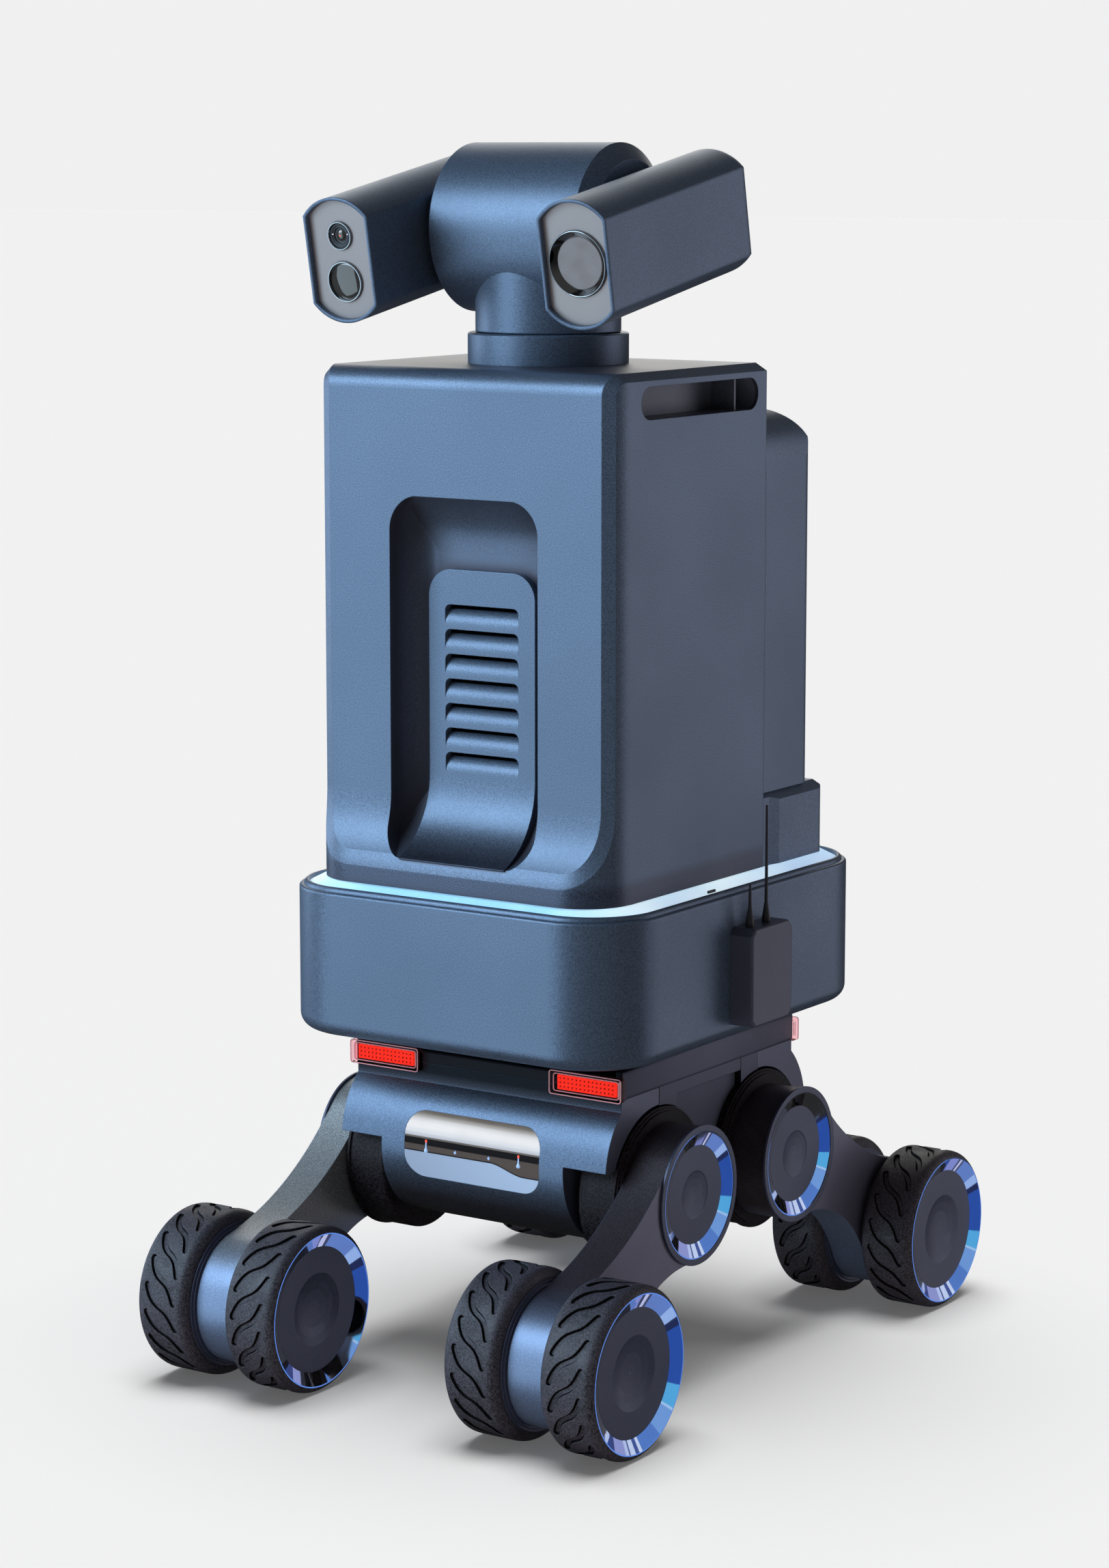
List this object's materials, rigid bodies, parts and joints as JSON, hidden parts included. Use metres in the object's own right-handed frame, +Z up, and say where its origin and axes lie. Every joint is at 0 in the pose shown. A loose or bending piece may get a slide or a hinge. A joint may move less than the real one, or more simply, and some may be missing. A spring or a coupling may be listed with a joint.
{
  "type": "self balancing robot",
  "caption": "Upright wheeled robot: a tall louvred body on a rounded lit tray, four pivoting legs with twin-tyre wheels, and a panning head with two tilting lens pods.",
  "frame": {"origin": "on the floor, under the middle of the robot, midway between the four wheel axles", "axes": "+Z up, -Y the way the robot looks, +X its own left, the side with the antennas"},
  "size_m": [0.534, 0.761, 1.205],
  "materials": {
    "blue_shell": "satin metallic paint on cast aluminium",
    "dark_metal": "near-black satin",
    "tyre_rubber": "matt black",
    "bright_trim": "polished, blue tinted",
    "black_plastic": "matt",
    "window_glass": "mirror-coated",
    "lamp_glass": "clear",
    "lamp_red": "lit red",
    "ring_glow": "lit cyan-white",
    "battery_case": "satin",
    "unit_case": "satin",
    "bright_steel": "ground",
    "silver_plate": "satin silver",
    "lens_glass": "dark glass"
  },
  "bodies": {
    "chassis": {"hip_drive_front": "dark_metal", "hip_drive_rear": "dark_metal", "deck_plate": "dark_metal", "chassis_frame": "blue_shell", "hood_front": "blue_shell", "hood_rear": "blue_shell", "tray_shell": "blue_shell", "body_shell": "blue_shell", "louvre_panel": "blue_shell", "rear_pack": "blue_shell", "rear_skirt": "blue_shell", "pan_collar": "blue_shell", "sensor_window": "window_glass", "lamp_glasses": "lamp_glass", "lamp_boards": "lamp_red", "led_ring": "ring_glow", "battery_pack": "battery_case", "antenna_module": "black_plastic", "antenna_whips": "black_plastic", "handle_cups": "black_plastic", "control_unit": "unit_case"},
    "head": {"head_housing": "blue_shell"},
    "pods": {"pod_left": "blue_shell", "pod_right": "blue_shell", "tilt_shaft": "bright_steel", "face_plates": "silver_plate", "beam_lens": "lens_glass", "camera_lenses": "lens_glass"},
    "leg_front_left": {"leg_arm_front_left": "blue_shell", "hip_cap_front_left": "dark_metal", "hip_ring_front_left": "bright_trim"},
    "wheels_front_left": {"tyre_front_left_outer": "tyre_rubber", "tyre_front_left_inner": "tyre_rubber", "hub_front_left_outer": "dark_metal", "hub_front_left_inner": "dark_metal", "trim_rings_front_left": "bright_trim"},
    "leg_front_right": {"leg_arm_front_right": "blue_shell", "hip_cap_front_right": "dark_metal", "hip_ring_front_right": "bright_trim"},
    "wheels_front_right": {"tyre_front_right_outer": "tyre_rubber", "tyre_front_right_inner": "tyre_rubber", "hub_front_right_outer": "dark_metal", "hub_front_right_inner": "dark_metal", "trim_rings_front_right": "bright_trim"},
    "leg_rear_left": {"leg_arm_rear_left": "blue_shell", "hip_cap_rear_left": "dark_metal", "hip_ring_rear_left": "bright_trim"},
    "wheels_rear_left": {"tyre_rear_left_outer": "tyre_rubber", "tyre_rear_left_inner": "tyre_rubber", "hub_rear_left_outer": "dark_metal", "hub_rear_left_inner": "dark_metal", "trim_rings_rear_left": "bright_trim"},
    "leg_rear_right": {"leg_arm_rear_right": "blue_shell", "hip_cap_rear_right": "dark_metal", "hip_ring_rear_right": "bright_trim"},
    "wheels_rear_right": {"tyre_rear_right_outer": "tyre_rubber", "tyre_rear_right_inner": "tyre_rubber", "hub_rear_right_outer": "dark_metal", "hub_rear_right_inner": "dark_metal", "trim_rings_rear_right": "bright_trim"}
  },
  "joints": [
    {"name": "head_pan", "type": "hinge", "parent": "chassis", "child": "head", "pos_m": [0, -0.052, 1.01], "axis": [0, 0, 1], "range_deg": [-170, 170]},
    {"name": "pod_tilt", "type": "hinge", "parent": "head", "child": "pods", "pos_m": [0, -0.052, 1.123], "axis": [1, 0, 0], "range_deg": [-30, 14]},
    {"name": "hip_front_left", "type": "hinge", "parent": "chassis", "child": "leg_front_left", "pos_m": [0.144, -0.0955, 0.1984], "axis": [1, 0, 0], "range_deg": [-30, 25]},
    {"name": "wheel_front_left", "type": "hinge", "parent": "leg_front_left", "child": "wheels_front_left", "pos_m": [0.1835, -0.298, 0.0825], "axis": [1, 0, 0], "continuous": true},
    {"name": "hip_front_right", "type": "hinge", "parent": "chassis", "child": "leg_front_right", "pos_m": [-0.144, -0.0955, 0.1984], "axis": [1, 0, 0], "range_deg": [-30, 25]},
    {"name": "wheel_front_right", "type": "hinge", "parent": "leg_front_right", "child": "wheels_front_right", "pos_m": [-0.1835, -0.298, 0.0825], "axis": [1, 0, 0], "continuous": true},
    {"name": "hip_rear_left", "type": "hinge", "parent": "chassis", "child": "leg_rear_left", "pos_m": [0.144, 0.0955, 0.1984], "axis": [-1, 0, 0], "range_deg": [-30, 25]},
    {"name": "wheel_rear_left", "type": "hinge", "parent": "leg_rear_left", "child": "wheels_rear_left", "pos_m": [0.1835, 0.298, 0.0825], "axis": [1, 0, 0], "continuous": true},
    {"name": "hip_rear_right", "type": "hinge", "parent": "chassis", "child": "leg_rear_right", "pos_m": [-0.144, 0.0955, 0.1984], "axis": [-1, 0, 0], "range_deg": [-30, 25]},
    {"name": "wheel_rear_right", "type": "hinge", "parent": "leg_rear_right", "child": "wheels_rear_right", "pos_m": [-0.1835, 0.298, 0.0825], "axis": [1, 0, 0], "continuous": true}
  ]
}
